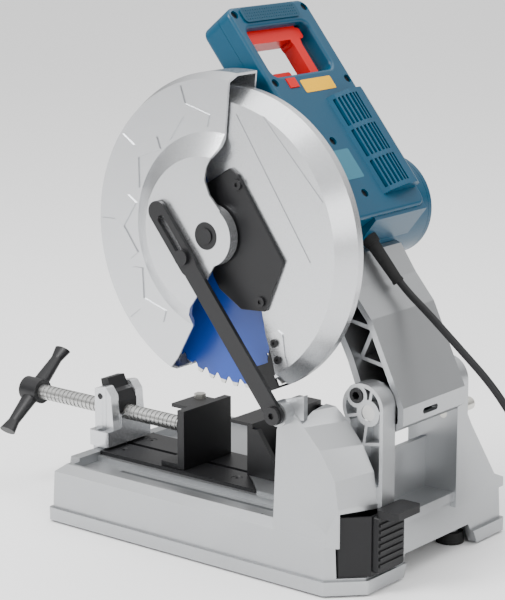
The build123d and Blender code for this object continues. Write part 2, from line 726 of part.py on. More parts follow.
with BuildPart() as guard_cover:
    with BuildSketch(side_plane(face_x + 0.3)):
        Polygon((0, 372), (8, 392), (28, 404), (40, 412), (50, 406), (107, 326), (85, 273),
                (54, 271), (26, 288), (18, 300), align=None)
    extrude(amount=3.4)
    fillet(guard_cover.edges().filter_by(Axis.X), radius=4)
    fillet(guard_cover.edges().group_by(Axis.X)[-1], radius=1.2)
    with BuildSketch(at_x(guard_plane, face_x)):
        Circle(27)
    extrude(amount=10, mode=Mode.SUBTRACT)
    with BuildSketch(side_plane(118)):
        with Locations(*COVER_SCREWS):
            Circle(2.6)
    extrude(amount=10, mode=Mode.SUBTRACT)
save(guard_cover, "guard_cover")

with BuildPart() as cover_screws:
    with BuildSketch(side_plane(124.4)):
        with Locations(*COVER_SCREWS):
            Circle(5.2)
    extrude(amount=2.4)
    with BuildSketch(side_plane(121)):
        with Locations(*COVER_SCREWS):
            Circle(2.5)
    extrude(amount=4)
    with BuildSketch(side_plane(126.8)):
        with Locations(*COVER_SCREWS):
            RegularPolygon(2.3, 6)
    extrude(amount=-1.6, mode=Mode.SUBTRACT)
save(cover_screws, "cover_screws")

DEFLECTOR_X = (112.0, 115.0)
with BuildPart() as chip_deflector:
    # flap across the channel, behind the blade's teeth
    with BuildSketch(at_x(arbor_plane, wall_x + 2.5)):
        Circle(FIXED_GUARD_R)
        Circle(BLADE_R + 1, mode=Mode.SUBTRACT)
        Polygon(*sector(200, -73, -62.8), align=None, mode=Mode.INTERSECT)
    extrude(amount=DEFLECTOR_X[1] - wall_x - 2.5)
    with BuildSketch(at_x(arbor_plane, DEFLECTOR_X[0])):
        Circle(FIXED_GUARD_R)
        Circle(128, mode=Mode.SUBTRACT)
        Polygon(*sector(200, -73, -62.8), align=None, mode=Mode.INTERSECT)
    extrude(amount=DEFLECTOR_X[1] - DEFLECTOR_X[0])
    # side plate behind the lug
    with BuildSketch(side_plane(DEFLECTOR_X[0])):
        Polygon((84, 240), (90, 248), (100, 248), (103, 228), (96, 214), (86, 206), (80, 222), align=None)
    extrude(amount=DEFLECTOR_X[1] - DEFLECTOR_X[0])
    with BuildSketch(side_plane(DEFLECTOR_X[0] - 2)):
        with Locations(*DEFLECTOR_SCREWS):
            Circle(2.55)
    extrude(amount=8, mode=Mode.SUBTRACT)
save(chip_deflector, "chip_deflector")

with BuildPart() as deflector_screws:
    with BuildSketch(side_plane(DEFLECTOR_X[0] + 0.5)):
        with Locations(*DEFLECTOR_SCREWS):
            Circle(2.5)
    extrude(amount=10)
    with BuildSketch(side_plane(face_x + 1.4)):
        with Locations(*DEFLECTOR_SCREWS):
            Circle(4.2)
    extrude(amount=2.2)
    with BuildSketch(side_plane(face_x + 3.6)):
        with Locations(*DEFLECTOR_SCREWS):
            RegularPolygon(2, 6)
    extrude(amount=-1.4, mode=Mode.SUBTRACT)
save(deflector_screws, "deflector_screws")

# Arm with the gearcase ----------------------------------------------------------
arm_outline = [(212, 166), (211.7, 184), (172, 267.5), (149, 294.5), (130, 322), (100, 330),
               (78, 298), (104, 288), (126, 256), (144, 222), (156, 192), (170, 170), (199, 157)]
arm_pocket = [(205, 168), (205, 183), (166, 265), (144, 290), (126, 306), (108, 298),
              (133, 258), (151, 225), (163, 195), (176, 176), (199, 164)]
with BuildPart() as arm_casting:
    with BuildSketch(side_plane(-42)):
        Polygon(*arm_outline, align=None)
    extrude(amount=109)
    with BuildSketch(side_plane(-36)):
        Polygon(*arm_pocket, align=None)
    extrude(amount=110, mode=Mode.SUBTRACT)
    # ribs in the open channel
    with BuildSketch(side_plane(-38)):
        Polygon((130, 262), (134, 258), (176, 250), (173, 256), align=None)
        Polygon((148, 226), (150, 222), (196, 214), (194, 219), align=None)
        Polygon((160, 196), (163, 193), (186, 184), (186, 190), align=None)
        Polygon((150, 226), (154, 224), (172, 264), (168, 266), align=None)
        Polygon((180, 182), (206, 172), (206, 176), (186, 186), align=None)
    extrude(amount=92)
    # hinge barrel
    with BuildSketch(at_x(hinge_plane, -42)):
        Circle(14)
    extrude(amount=109)
    # gearcase
    with BuildSketch(side_plane(30)):
        with Locations((ARBOR_Y, ARBOR_Z)):
            Circle(58)
        with Locations((MOTOR_Y, MOTOR_Z)):
            Circle(32)
        Polygon((20, 285), (60, 281), (104, 290), (128, 318), (104, 364), (60, 378), (30, 393), align=None)
    extrude(amount=48)
    fillet(arm_casting.edges().group_by(Axis.X)[-1], radius=2)
    with BuildSketch(side_plane(44)):
        with Locations((ARBOR_Y, ARBOR_Z)):
            Circle(53)
        with Locations((MOTOR_Y, MOTOR_Z)):
            Circle(16)
    extrude(amount=20, mode=Mode.SUBTRACT)
    with BuildSketch(at_x(arbor_plane, 33)):
        Circle(11.05)
    extrude(amount=20, mode=Mode.SUBTRACT)
    with BuildSketch(at_x(arbor_plane, 60)):
        Circle(15.05)
    extrude(amount=30, mode=Mode.SUBTRACT)
    with BuildSketch(at_x(motor_plane, 20)):
        Circle(11.05)
    extrude(amount=30, mode=Mode.SUBTRACT)
    # seat of the motor's barrel and the bore of the hinge pin
    with BuildSketch(at_x(motor_plane, -50)):
        Circle(52.9)
    extrude(amount=80, mode=Mode.SUBTRACT)
    with BuildSketch(at_x(hinge_plane, -60)):
        Circle(HINGE_R + RUNNING)
    extrude(amount=140, mode=Mode.SUBTRACT)
    # guide of the spindle lock, and the slot in the bottom lip
    with BuildSketch(front_plane(-20, 54, ARBOR_Z)):
        Circle(4.05)
    extrude(amount=30, mode=Mode.SUBTRACT)
    with BuildSketch(front_plane(216)):
        with Locations((20, 174)):
            SlotOverall(26, 6)
    extrude(amount=14, mode=Mode.SUBTRACT)
save(arm_casting, "arm_casting")

with BuildPart() as spindle_lock_button:
    with BuildSketch(front_plane(-33.6, 54, ARBOR_Z)):
        Circle(4)
    extrude(amount=6)
    with BuildSketch(front_plane(-39.6, 54, ARBOR_Z)):
        Circle(7)
    extrude(amount=5)
save(spindle_lock_button, "spindle_lock_button")

# Spindle, gears and blade -------------------------------------------------------
centres = math.degrees(math.atan2(MOTOR_Z - ARBOR_Z, MOTOR_Y - ARBOR_Y))


def tooth(root, tip, width_root, width_tip, angle):
    points = [(root, -width_root / 2), (tip, -width_tip / 2), (tip, width_tip / 2), (root, width_root / 2)]
    return [
        (
            x * math.cos(math.radians(angle)) - y * math.sin(math.radians(angle)),
            x * math.sin(math.radians(angle)) + y * math.cos(math.radians(angle)),
        )
        for x, y in points
    ]


with BuildPart() as spindle_shaft:
    with BuildSketch(at_x(arbor_plane, 34)):
        Circle(7)
    extrude(amount=12)
    with BuildSketch(at_x(arbor_plane, 44)):
        Circle(9.9)
    extrude(amount=44)
    with BuildSketch(at_x(arbor_plane, 86)):
        Circle(7.9)
    extrude(amount=14)
    with BuildSketch(at_x(arbor_plane, 84)):
        Circle(3.95)
    extrude(amount=20, mode=Mode.SUBTRACT)
save(spindle_shaft, "spindle_shaft")

with BuildPart() as drive_gear:
    with BuildSketch(at_x(arbor_plane, 47)):
        Circle(45.6)
        for k in range(GEAR_TEETH):
            Polygon(*tooth(45, 49.8, 3.4, 1.5, centres + (k + 0.5) * 360 / GEAR_TEETH), align=None)
        Circle(9.95, mode=Mode.SUBTRACT)
        with PolarLocations(28, 6):
            Circle(7, mode=Mode.SUBTRACT)
    extrude(amount=14)
save(drive_gear, "drive_gear")

with BuildPart() as inner_flange:
    with BuildSketch(at_x(arbor_plane, 88.2)):
        Circle(25)
        Circle(8, mode=Mode.SUBTRACT)
    extrude(amount=5.7)
save(inner_flange, "inner_flange")

with BuildPart() as outer_flange:
    with BuildSketch(at_x(arbor_plane, 96.1)):
        Circle(25)
    extrude(amount=5)
    with BuildSketch(at_x(arbor_plane, 96)):
        Circle(8)
    extrude(amount=4, mode=Mode.SUBTRACT)
    with BuildSketch(at_x(arbor_plane, 99)):
        Circle(4.1)
    extrude(amount=4, mode=Mode.SUBTRACT)
save(outer_flange, "outer_flange")

with BuildPart() as arbor_bolt:
    with BuildSketch(at_x(arbor_plane, 101.2)):
        Circle(9.5)
    extrude(amount=1.6)
    with BuildSketch(at_x(arbor_plane, 102.8)):
        RegularPolygon(7.5, 6)
    extrude(amount=5.6)
    with BuildSketch(at_x(arbor_plane, 86)):
        Circle(3.9)
    extrude(amount=16)
save(arbor_bolt, "arbor_bolt")

TEETH = 60
with BuildPart() as saw_blade:
    with BuildSketch(at_x(arbor_plane, 94.1)):
        Circle(BLADE_R - 8)
        for k in range(TEETH):
            turn = 360 * k / TEETH
            Polygon(
                polar(BLADE_R - 9, turn - 3.2), polar(BLADE_R - 9, turn + 2.3),
                polar(BLADE_R, turn + 1.0), polar(BLADE_R, turn - 0.6),
                polar(BLADE_R - 4, turn - 1.4), align=None,
            )
        Circle(8.0, mode=Mode.SUBTRACT)
        # expansion slots
        for k in range(5):
            with Locations(Location(polar(BLADE_R - 22, 72 * k + 3))):
                SlotOverall(24, 2.4, rotation=72 * k + 8, mode=Mode.SUBTRACT)
    extrude(amount=1.8)
save(saw_blade, "saw_blade")

# Motor --------------------------------------------------------------------------
with BuildPart() as armature_shaft:
    with BuildSketch(at_x(motor_plane, -94)):
        Circle(4)
    extrude(amount=14)
    with BuildSketch(at_x(motor_plane, -82)):
        Circle(6)
    extrude(amount=118)
    with BuildSketch(at_x(motor_plane, 36)):
        Circle(4.98)
    extrude(amount=9)
    with BuildSketch(at_x(motor_plane, 45)):
        Circle(5.6)
        for k in range(PINION_TEETH):
            Polygon(*tooth(5, 9.8, 3.2, 1.3, centres + 180 + k * 360 / PINION_TEETH), align=None)
    extrude(amount=17)
save(armature_shaft, "armature_shaft")

with BuildPart() as armature_core:
    with BuildSketch(at_x(motor_plane, -58)):
        Circle(25)
        Circle(6.02, mode=Mode.SUBTRACT)
        with PolarLocations(22, 12):
            Rectangle(8, 2.4, mode=Mode.SUBTRACT)
    extrude(amount=50)
save(armature_core, "armature_core")

with BuildPart() as commutator:
    with BuildSketch(at_x(motor_plane, -79)):
        Circle(13)
        Circle(6.02, mode=Mode.SUBTRACT)
    extrude(amount=15)
save(commutator, "commutator")

with BuildPart() as cooling_fan:
    with BuildSketch(at_x(motor_plane, 2)):
        Circle(42)
        Circle(6.02, mode=Mode.SUBTRACT)
    extrude(amount=2)
    with BuildSketch(at_x(motor_plane, 2)):
        Circle(13)
        Circle(6.02, mode=Mode.SUBTRACT)
    extrude(amount=14)
    with BuildSketch(at_x(motor_plane, 4)):
        with PolarLocations(29, 14):
            Rectangle(24, 1.6)
    extrude(amount=10)
save(cooling_fan, "cooling_fan")

with BuildPart() as stator:
    with BuildSketch(at_x(motor_plane, -60)):
        Circle(47.6)
        Circle(26, mode=Mode.SUBTRACT)
    extrude(amount=54)
save(stator, "stator")

with BuildPart() as brush_holders:
    for side in (1, -1):
        with BuildSketch(at_x(motor_plane, -76)):
            with Locations((0, side * 30)):
                Rectangle(10, 32)
        extrude(amount=9)
save(brush_holders, "brush_holders")

with BuildPart() as bearings:
    for spot, x_near, width, outer, bore in (
        (arbor_plane, 34, 9, 11, 7.02),
        (arbor_plane, 66, 11, 15, 9.92),
        (motor_plane, 31, 12, 11, 6.02),
        (motor_plane, -93, 8, 11, 4.02),
    ):
        with BuildSketch(at_x(spot, x_near)):
            Circle(outer)
            Circle(bore, mode=Mode.SUBTRACT)
        extrude(amount=width)
save(bearings, "bearings")

HANDLE_S = 110.0
BODY_S = 254.0
LOOP_S = (26.0, 85.0)
WALL = 3.0
SPLIT_T = -17.0
UNDER_T = -42.0
ROCKER_SPOT = (32.0, 95.0)
HOUSING_SCREWS = [(57, 9.5), (-57, 9.5), (57, 92), (-57, 100), (48, 167), (23, 166), (48, 230), (22, 228)]
rocker_plane = Plane(
    origin=slab.from_local_coords((*ROCKER_SPOT, -3)), x_dir=(1, 0, 0), z_dir=slab.y_dir,
)
loop_mid = (LOOP_S[0] + LOOP_S[1]) / 2
loop_len = LOOP_S[1] - LOOP_S[0]
with BuildPart() as motor_housing:
    # sloping top shell with the opening of the D-handle
    with BuildSketch(slab.offset(SPLIT_T)):
        with Locations((0, BODY_S / 2)):
            RectangleRounded(2 * SLAB_HALF_W, BODY_S, 12)
        with Locations((3, loop_mid)):
            RectangleRounded(100, loop_len, 9, mode=Mode.SUBTRACT)
    extrude(amount=-SPLIT_T)
    fillet(motor_housing.edges().group_by(slab_axis)[-1], radius=4)
    with BuildSketch(slab.offset(-30)):
        with Locations((0, (HANDLE_S + BODY_S) / 2)):
            RectangleRounded(2 * SLAB_HALF_W, BODY_S - HANDLE_S, 12)
    extrude(amount=26)
    # motor barrel
    with BuildSketch(at_x(motor_plane, -92)):
        Circle(52.6)
    extrude(amount=121.6)
    slab_side = slab.from_local_coords((-SLAB_HALF_W, 0, 0))
    with BuildSketch(Plane(origin=slab_side, x_dir=slab.y_dir, z_dir=(-1, 0, 0))):
        Polygon((112, 4), (258, 4), (266, 40), (262, 66), (219, 66), (172, 50), (112, 34), align=None)
    extrude(amount=-89.6)
    # raised ridge over the motor's air outlet
    with BuildSketch(Plane(origin=slab.from_local_coords((0, 118, 0)), x_dir=(1, 0, 0), z_dir=slab.y_dir)):
        Polygon((-60, 2), (-3, 2), (-12, -6), (-30, -13), (-50, -13), (-60, -7), align=None)
    extrude(amount=116)
    # hollow inside
    with BuildSketch(slab.offset(UNDER_T)):
        with Locations((0, BODY_S / 2)):
            RectangleRounded(2 * SLAB_HALF_W - 2 * WALL, BODY_S - 2 * WALL, 9)
        with Locations((3, loop_mid)):
            RectangleRounded(100 + 2 * WALL, loop_len + 2 * WALL, 12, mode=Mode.SUBTRACT)
        with Locations((0, 200)):
            Rectangle(140, 180, mode=Mode.SUBTRACT)
    extrude(amount=-UNDER_T - WALL, mode=Mode.SUBTRACT)
    with BuildSketch(slab.offset(-27)):
        with Locations((0, 180)):
            Rectangle(2 * SLAB_HALF_W - 2 * WALL, 140)
    extrude(amount=24, mode=Mode.SUBTRACT)
    with BuildSketch(at_x(motor_plane, -93)):
        Circle(48)
    extrude(amount=118, mode=Mode.SUBTRACT)
    with BuildSketch(at_x(motor_plane, 20)):
        Circle(12)
    extrude(amount=20, mode=Mode.SUBTRACT)
    # air outlet slots: three groups of seven
    with BuildSketch(slab.offset(18)):
        for group in (139, 176, 213):
            with Locations((-24, group)):
                with GridLocations(4.6, 0, 7, 1):
                    Rectangle(2.6, 32)
    extrude(amount=-22, mode=Mode.SUBTRACT)
    # recesses of the housing screws
    with BuildSketch(slab):
        for u, v in HOUSING_SCREWS:
            with Locations((u, v)):
                Circle(4.6)
    extrude(amount=-5, mode=Mode.SUBTRACT)
    # seat of the strain relief
    with BuildSketch(gland_plane.offset(-23)):
        Circle(8.55)
    extrude(amount=40, mode=Mode.SUBTRACT)
    # seat of the switch rocker, and of the trigger
    with BuildSketch(slab.offset(-8)):
        with Locations(ROCKER_SPOT):
            Rectangle(15.2, 12.2)
    extrude(amount=10, mode=Mode.SUBTRACT)
    with BuildSketch(rocker_plane.offset(-8)):
        Circle(1.5 + RUNNING)
    extrude(amount=16, mode=Mode.SUBTRACT)
    with BuildSketch(slab.offset(-26)):
        with Locations((5, 22)):
            Rectangle(97, 18)
        with Locations((-25, 88)):
            Rectangle(17, 12)
    extrude(amount=18, mode=Mode.SUBTRACT)
save(motor_housing, "motor_housing")

with BuildPart() as handle_lower_shell:
    with BuildSketch(slab.offset(UNDER_T)):
        with Locations((0, 54.5)):
            RectangleRounded(2 * SLAB_HALF_W, 109, 12)
        with Locations((3, loop_mid)):
            RectangleRounded(100, loop_len, 9, mode=Mode.SUBTRACT)
    extrude(amount=SPLIT_T - UNDER_T - 0.3)
    fillet(handle_lower_shell.edges().group_by(slab_axis)[0], radius=4)
    with BuildSketch(slab.offset(UNDER_T + WALL)):
        with Locations((0, 54.5)):
            RectangleRounded(2 * SLAB_HALF_W - 2 * WALL, 109 - 2 * WALL, 9)
        with Locations((3, loop_mid)):
            RectangleRounded(100 + 2 * WALL, loop_len + 2 * WALL, 12, mode=Mode.SUBTRACT)
    extrude(amount=20, mode=Mode.SUBTRACT)
    with BuildSketch(slab.offset(-26)):
        with Locations((5, 22)):
            Rectangle(97, 18)
        with Locations((-25, 88)):
            Rectangle(17, 12)
    extrude(amount=18, mode=Mode.SUBTRACT)
    with BuildSketch(slab.offset(-30)):
        with Locations((10, 86)):
            Rectangle(41, 12)
    extrude(amount=10, mode=Mode.SUBTRACT)
save(handle_lower_shell, "handle_lower_shell")

with BuildPart() as motor_end_cap:
    with BuildSketch(at_x(motor_plane, -105)):
        Circle(46)
    with BuildSketch(at_x(motor_plane, -98)):
        Circle(52.6)
    loft()
    with BuildSketch(at_x(motor_plane, -98)):
        Circle(52.6)
    extrude(amount=5.6)
    with BuildSketch(at_x(motor_plane, -101)):
        Circle(46)
    extrude(amount=10, mode=Mode.SUBTRACT)
    with BuildSketch(at_x(motor_plane, -103)):
        Circle(16)
        Circle(11.05, mode=Mode.SUBTRACT)
    extrude(amount=16)
    with BuildSketch(at_x(motor_plane, -100)):
        with PolarLocations(26, 8):
            SlotOverall(20, 3)
    extrude(amount=-8, mode=Mode.SUBTRACT)
save(motor_end_cap, "motor_end_cap")

with BuildPart() as grip_pad:
    with BuildSketch(slab.offset(0.3)):
        with Locations((3, 12)):
            RectangleRounded(90, 17, 5)
    extrude(amount=1.4)
    # dotted grip
    with BuildSketch(slab.offset(1.6)):
        with Locations((3, 12)):
            with GridLocations(3.8, 3.4, 22, 4):
                Circle(0.7)
    extrude(amount=0.6)
save(grip_pad, "grip_pad")

with BuildPart() as housing_screws:
    with BuildSketch(slab.offset(-5)):
        for u, v in HOUSING_SCREWS:
            with Locations((u, v)):
                Circle(4.2)
    extrude(amount=2.2)
save(housing_screws, "housing_screws")

with BuildPart() as trigger:
    with BuildSketch(slab.offset(-25)):
        with Locations((5, 34.5)):
            RectangleRounded(92, 13, 4)
        with Locations((5, 26)):
            Rectangle(80, 16)
        with Locations((-25, 68)):
            Rectangle(13, 50)
        with Locations((-25, 43)):
            Circle(8)
    extrude(amount=16)
save(trigger, "trigger")

with BuildPart() as lock_off_button:
    with BuildSketch(slab.offset(-29.6)):
        with Locations((10, 80)):
            RectangleRounded(30, 18, 3)
    extrude(amount=8)
save(lock_off_button, "lock_off_button")

with BuildPart() as light_rocker:
    with BuildSketch(slab.offset(-6)):
        with Locations(ROCKER_SPOT):
            Rectangle(14, 11)
    extrude(amount=7)
    with BuildSketch(rocker_plane.offset(-7)):
        Circle(1.5)
    extrude(amount=14)
save(light_rocker, "light_rocker")

with BuildPart() as label_warning:
    with BuildSketch(slab):
        with Locations((-6, 101)):
            RectangleRounded(50, 15, 2)
    extrude(amount=0.3)
save(label_warning, "label_warning")

with BuildPart() as label_rating:
    with BuildSketch(slab):
        with Locations((28, 194)):
            RectangleRounded(40, 34, 2)
    extrude(amount=0.3)
save(label_rating, "label_rating")

with BuildPart() as switch_block:
    with BuildSketch(slab.offset(-25)):
        with Locations((20, 130)):
            Rectangle(60, 30)
    extrude(amount=20)
save(switch_block, "switch_block")


# Supply cord --------------------------------------------------------------------
with BuildPart() as strain_relief:
    with BuildSketch(gland_plane.offset(-12)):
        Circle(8.5)
    extrude(amount=12)
    with BuildSketch(gland_plane):
        Circle(6.8)
    with BuildSketch(gland_plane.offset(43)):
        Circle(5.6)
    loft()
    with BuildSketch(gland_plane.offset(43)):
        Circle(6.1)
    extrude(amount=3)
    with BuildSketch(gland_plane.offset(4)):
        Circle(CORD_R + 1.05)
    extrude(amount=50, mode=Mode.SUBTRACT)
save(strain_relief, "strain_relief")


# Bends get the largest radius that 0.45 of the shorter run beside them allows.
def bend_radii(points):
    radii = []
    for before, corner, after in zip(points, points[1:], points[2:]):
        into, out = corner - before, after - corner
        half = math.radians(into.get_angle(out)) / 2
        radii.append(0.45 * min(into.length, out.length) / math.tan(half))
    return radii


COIL_R = 42.0
COIL_PITCH = 2 * CORD_R + 0.5
COIL_TURNS = 7
coil_centre = Vector(-150, 338, 0)
upper_points = [
    Vector(14.3, 138.6, 326.3), Vector(8, 164.3, 292.1), Vector(2, 197, 264), Vector(-3.7, 227.6, 234.8),
]
lower_points = [
    Vector(-4.2, 230.2, 232.3), Vector(-10, 263.9, 200.9), Vector(-16, 291, 163), Vector(-26, 317, 118),
    Vector(-40, 343, 72), Vector(-58, 365, 33), Vector(-84, 377, 9.5), Vector(-107, 380.6, 4.2),
    Vector(-128, 380.6, CORD_R + 0.05),
]
for name, points in (("upper", upper_points), ("lower", lower_points)):
    print("cord", name, "bend radii", [round(r, 1) for r in bend_radii(points)])

with BuildPart() as cord_upper:
    with BuildLine() as upper_line:
        FilletPolyline(*upper_points, radius=bend_radii(upper_points))
    with BuildSketch(Plane(origin=upper_line.line @ 0, z_dir=upper_line.line % 0)):
        Circle(CORD_R)
    sweep()
save(cord_upper, "cord_upper")

with BuildPart() as cord_lower:
    with BuildLine() as lower_line:
        FilletPolyline(*lower_points, radius=bend_radii(lower_points))
    with BuildSketch(Plane(origin=lower_line.line @ 0, z_dir=lower_line.line % 0)):
        Circle(CORD_R)
    sweep()
save(cord_lower, "cord_lower")
for path, tube in ((upper_line, cord_upper), (lower_line, cord_lower)):
    length = sum(edge.length for edge in path.edges())
    section = math.pi * CORD_R ** 2
    print("cord length", round(length), "volume ratio", round(tube.part.volume / section / length, 4))

with BuildPart() as cord_coil:
    with BuildSketch(Plane.XY):
        with Locations((coil_centre.X, coil_centre.Y)):
            Circle(COIL_R + CORD_R)
            Circle(COIL_R - CORD_R, mode=Mode.SUBTRACT)
    extrude(amount=COIL_TURNS * COIL_PITCH)
save(cord_coil, "cord_coil")

# The plug lies on the coil, with its tail where the last turn rises to it.
PLUG_R = 13.0
plug_tail = coil_centre + Vector(8, COIL_R, COIL_TURNS * COIL_PITCH + PLUG_R + 0.1)
plug_plane = Plane(origin=plug_tail, x_dir=(0, 1, 0), z_dir=(-1, 0, 0))
with BuildPart() as plug:
    with BuildSketch(plug_plane):
        Circle(5.5)
    with BuildSketch(plug_plane.offset(18)):
        Circle(PLUG_R)
    loft()
    with BuildSketch(plug_plane.offset(18)):
        Circle(PLUG_R)
    extrude(amount=20)
    chamfer(plug.edges().group_by(Axis.X)[0], length=1.5)
    with BuildSketch(plug_plane.offset(38)):
        with Locations((-9.5, 0), (9.5, 0)):
            Circle(2.4)
    extrude(amount=19)
save(plug, "plug")
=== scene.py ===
import json
import math

import bpy
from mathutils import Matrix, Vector


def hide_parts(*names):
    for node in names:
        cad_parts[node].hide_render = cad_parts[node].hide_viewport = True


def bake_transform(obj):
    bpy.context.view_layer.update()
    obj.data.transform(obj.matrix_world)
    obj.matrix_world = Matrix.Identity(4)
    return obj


# Metal chop saw. Everything is in metres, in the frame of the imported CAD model:
# +X to the operator's right (the blade side), +Y to the rear, +Z up.
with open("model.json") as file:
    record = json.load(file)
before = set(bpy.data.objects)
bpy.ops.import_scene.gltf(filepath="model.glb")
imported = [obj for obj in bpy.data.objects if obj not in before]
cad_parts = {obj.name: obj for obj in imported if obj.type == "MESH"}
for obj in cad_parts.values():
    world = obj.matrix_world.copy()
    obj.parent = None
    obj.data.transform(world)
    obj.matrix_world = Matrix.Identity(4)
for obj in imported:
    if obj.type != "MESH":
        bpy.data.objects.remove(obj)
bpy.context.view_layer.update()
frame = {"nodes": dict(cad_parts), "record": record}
scene = bpy.context.scene


# Camera ---------------------------------------------------------------------------
CAMERA_PLACE = Vector((1.73558, 1.36058, 0.76694))
CAMERA_LOOK = Vector((-0.7596, -0.6090, -0.2282))

camera_data = bpy.data.cameras.new("camera")
camera_data.sensor_fit = "VERTICAL"
camera_data.sensor_height = 36.0
camera_data.lens = 129.1
camera = bpy.data.objects.new("camera", camera_data)
camera.location = CAMERA_PLACE
camera.rotation_euler = CAMERA_LOOK.to_track_quat("-Z", "Y").to_euler()
scene.collection.objects.link(camera)
scene.camera = camera


# Node helpers ---------------------------------------------------------------------
def new_material(name):
    material = bpy.data.materials.new(name)
    material.use_nodes = True
    tree = material.node_tree
    return material, tree, tree.nodes["Principled BSDF"]


def node(tree, kind, inputs=None, **settings):
    made = tree.nodes.new(kind)
    for key, value in settings.items():
        setattr(made, key, value)
    for key, value in (inputs or {}).items():
        made.inputs[key].default_value = value
    return made


def object_coordinates(tree):
    return node(tree, "ShaderNodeTexCoord").outputs["Object"]


def noise(tree, scale, detail=3.0):
    made = node(tree, "ShaderNodeTexNoise", {"Scale": scale, "Detail": detail})
    tree.links.new(object_coordinates(tree), made.inputs["Vector"])
    return made.outputs["Fac"]


def spread(tree, value, low, high):
    made = node(tree, "ShaderNodeMapRange", {"To Min": low, "To Max": high})
    tree.links.new(value, made.inputs["Value"])
    return made.outputs["Result"]


def add_bump(tree, shader, value, strength, distance=0.001):
    bump = node(tree, "ShaderNodeBump", {"Strength": strength, "Distance": distance})
    tree.links.new(value, bump.inputs["Height"])
    tree.links.new(bump.outputs["Normal"], shader.inputs["Normal"])


# Materials ------------------------------------------------------------------------
PATCH_SCALE = 14.0
ROUGHNESS_SPREAD = 0.05


def surface(name, colour, roughness, metallic=0.0, grain=900.0, bump=0.06, patchy=0.06, shine=0.5):
    """A base colour with faint patches, a roughness that varies, and a fine grain."""
    material, tree, shader = new_material(name)
    patches = noise(tree, PATCH_SCALE)
    mix = node(tree, "ShaderNodeMix", data_type="RGBA")
    mix.inputs["A"].default_value = (*[c * (1 - patchy) for c in colour], 1)
    mix.inputs["B"].default_value = (*[min(1, c * (1 + patchy)) for c in colour], 1)
    tree.links.new(patches, mix.inputs["Factor"])
    tree.links.new(mix.outputs["Result"], shader.inputs["Base Color"])
    fine = noise(tree, grain, 2.0)
    varied = spread(tree, fine, roughness - ROUGHNESS_SPREAD, roughness + ROUGHNESS_SPREAD)
    tree.links.new(varied, shader.inputs["Roughness"])
    add_bump(tree, shader, fine, bump)
    shader.inputs["Metallic"].default_value = metallic
    shader.inputs["Specular IOR Level"].default_value = shine
    return material


ARBOR = Vector((0.095, 0.023, 0.3335))
BLADE_R = 0.1525
TIP_FROM, TIP_TO = BLADE_R - 0.0042, BLADE_R - 0.0036     # the coating fades into the carbide
BLADE_BLUE = (0.004, 0.045, 0.30, 1)
TIP_STEEL = (0.62, 0.62, 0.6, 1)


def blade_material():
    """Blue coating inside, bare carbide at the tips of the teeth."""
    material, tree, shader = new_material("blade")
    split = node(tree, "ShaderNodeSeparateXYZ")
    tree.links.new(object_coordinates(tree), split.inputs["Vector"])
    parts = []
    for axis, centre in (("Y", ARBOR.y), ("Z", ARBOR.z)):
        shift = node(tree, "ShaderNodeMath", {1: centre}, operation="SUBTRACT")
        tree.links.new(split.outputs[axis], shift.inputs[0])
        square = node(tree, "ShaderNodeMath", {1: 2.0}, operation="POWER")
        tree.links.new(shift.outputs[0], square.inputs[0])
        parts.append(square)
    total = node(tree, "ShaderNodeMath", operation="ADD")
    tree.links.new(parts[0].outputs[0], total.inputs[0])
    tree.links.new(parts[1].outputs[0], total.inputs[1])
    root = node(tree, "ShaderNodeMath", operation="SQRT")
    tree.links.new(total.outputs[0], root.inputs[0])
    edge = node(tree, "ShaderNodeMapRange", {"From Min": TIP_FROM, "From Max": TIP_TO})
    tree.links.new(root.outputs[0], edge.inputs["Value"])
    mix = node(tree, "ShaderNodeMix", data_type="RGBA")
    mix.inputs["A"].default_value = BLADE_BLUE
    mix.inputs["B"].default_value = TIP_STEEL
    tree.links.new(edge.outputs["Result"], mix.inputs["Factor"])
    tree.links.new(mix.outputs["Result"], shader.inputs["Base Color"])
    tree.links.new(edge.outputs["Result"], shader.inputs["Metallic"])
    # rings left by grinding
    wave = node(tree, "ShaderNodeTexWave", {"Scale": 260.0, "Distortion": 0.0}, wave_type="RINGS")
    move = node(tree, "ShaderNodeVectorMath", operation="SUBTRACT")
    move.inputs[1].default_value = ARBOR
    tree.links.new(object_coordinates(tree), move.inputs[0])
    tree.links.new(move.outputs[0], wave.inputs["Vector"])
    add_bump(tree, shader, wave.outputs["Fac"], 0.04, 0.0004)
    shader.inputs["Roughness"].default_value = 0.32
    return material


